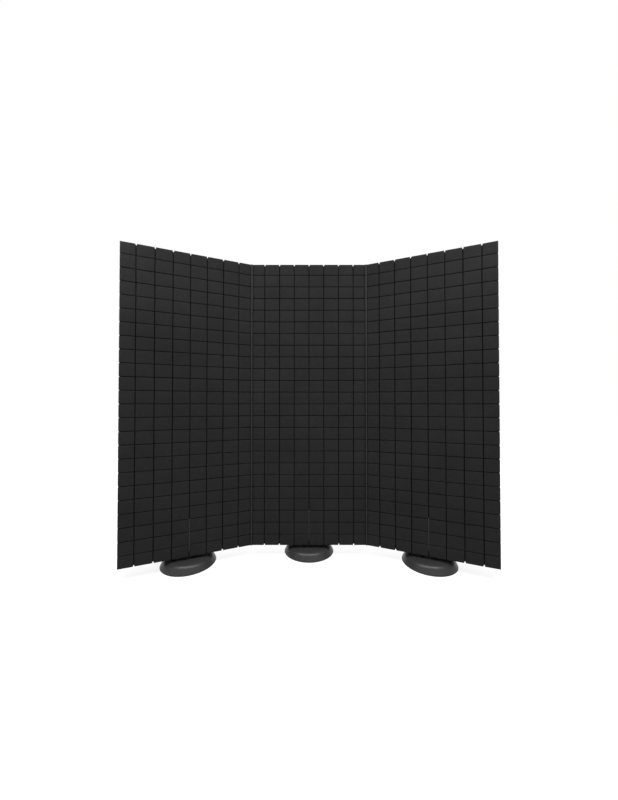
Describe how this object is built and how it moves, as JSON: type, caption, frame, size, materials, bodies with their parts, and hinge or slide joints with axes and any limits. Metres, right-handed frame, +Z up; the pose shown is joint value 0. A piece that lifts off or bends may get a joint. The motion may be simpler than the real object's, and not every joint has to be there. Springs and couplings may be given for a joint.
{
  "type": "microphone isolation shield",
  "caption": "Free-standing folding acoustic shield of tall kerf-cut foam panels, hinged in a shallow U, each panel on a pole with a heavy round base.",
  "frame": {"origin": "centre of the whole shield's footprint, on the floor", "axes": "+Z up, +X across the shield to the right as seen from the microphone side, +Y from the microphone side to the rear"},
  "size_m": [1.4912, 0.3588, 1.268],
  "materials": {
    "acoustic_foam": "matte",
    "core_foam": "matte",
    "frame_timber": "satin",
    "sleeve_aluminium": "satin",
    "bush_nylon": "satin",
    "fin_steel": "satin",
    "flange_steel": "satin",
    "screw_steel": "satin",
    "base_casting": "satin",
    "foot_rubber": "matte",
    "pole_steel": "polished",
    "cap_plastic": "matte",
    "collar_steel": "satin",
    "hinge_aluminium": "satin",
    "pin_steel": "satin"
  },
  "bodies": {
    "center_panel": {"center_front_foam": "acoustic_foam", "center_rear_foam": "acoustic_foam", "center_core_infill": "core_foam", "center_frame_stiles": "frame_timber", "center_frame_rails": "frame_timber", "center_pole_sleeve": "sleeve_aluminium", "center_sleeve_bushes": "bush_nylon", "center_anchor_fin": "fin_steel", "center_socket_flange": "flange_steel", "center_flange_screws": "screw_steel", "left_hinge_fixed_leaf": "hinge_aluminium", "left_hinge_pin": "pin_steel", "left_hinge_fixed_screws": "screw_steel", "right_hinge_fixed_leaf": "hinge_aluminium", "right_hinge_pin": "pin_steel", "right_hinge_fixed_screws": "screw_steel"},
    "left_panel": {"left_front_foam": "acoustic_foam", "left_rear_foam": "acoustic_foam", "left_core_infill": "core_foam", "left_frame_stiles": "frame_timber", "left_frame_rails": "frame_timber", "left_pole_sleeve": "sleeve_aluminium", "left_sleeve_bushes": "bush_nylon", "left_anchor_fin": "fin_steel", "left_socket_flange": "flange_steel", "left_flange_screws": "screw_steel", "left_hinge_moving_leaf": "hinge_aluminium", "left_hinge_moving_screws": "screw_steel"},
    "right_panel": {"right_front_foam": "acoustic_foam", "right_rear_foam": "acoustic_foam", "right_core_infill": "core_foam", "right_frame_stiles": "frame_timber", "right_frame_rails": "frame_timber", "right_pole_sleeve": "sleeve_aluminium", "right_sleeve_bushes": "bush_nylon", "right_anchor_fin": "fin_steel", "right_socket_flange": "flange_steel", "right_flange_screws": "screw_steel", "right_hinge_moving_leaf": "hinge_aluminium", "right_hinge_moving_screws": "screw_steel"},
    "center_stand": {"center_base": "base_casting", "center_foot_ring": "foot_rubber", "center_pole": "pole_steel", "center_pole_cap": "cap_plastic", "center_lock_collar": "collar_steel", "center_thrust_washer": "bush_nylon"},
    "left_stand": {"left_base": "base_casting", "left_foot_ring": "foot_rubber", "left_pole": "pole_steel", "left_pole_cap": "cap_plastic", "left_lock_collar": "collar_steel", "left_thrust_washer": "bush_nylon"},
    "right_stand": {"right_base": "base_casting", "right_foot_ring": "foot_rubber", "right_pole": "pole_steel", "right_pole_cap": "cap_plastic", "right_lock_collar": "collar_steel", "right_thrust_washer": "bush_nylon"}
  },
  "joints": [
    {"name": "left_fold", "type": "hinge", "parent": "center_panel", "child": "left_panel", "pos_m": [-0.2485, 0.01162, 0.658], "axis": [0, 0, 1], "range_deg": [-23, 87]},
    {"name": "right_fold", "type": "hinge", "parent": "center_panel", "child": "right_panel", "pos_m": [0.2485, 0.01162, 0.658], "axis": [0, 0, -1], "range_deg": [-23, 87]},
    {"name": "center_stand_swivel", "type": "hinge", "parent": "center_panel", "child": "center_stand", "pos_m": [0, 0.07042, 0.075], "axis": [0, 0, 1], "continuous": true},
    {"name": "left_stand_swivel", "type": "hinge", "parent": "left_panel", "child": "left_stand", "pos_m": [-0.50022, -0.03136, 0.075], "axis": [0, 0, 1], "continuous": true},
    {"name": "right_stand_swivel", "type": "hinge", "parent": "right_panel", "child": "right_stand", "pos_m": [0.50022, -0.03136, 0.075], "axis": [0, 0, 1], "continuous": true}
  ]
}
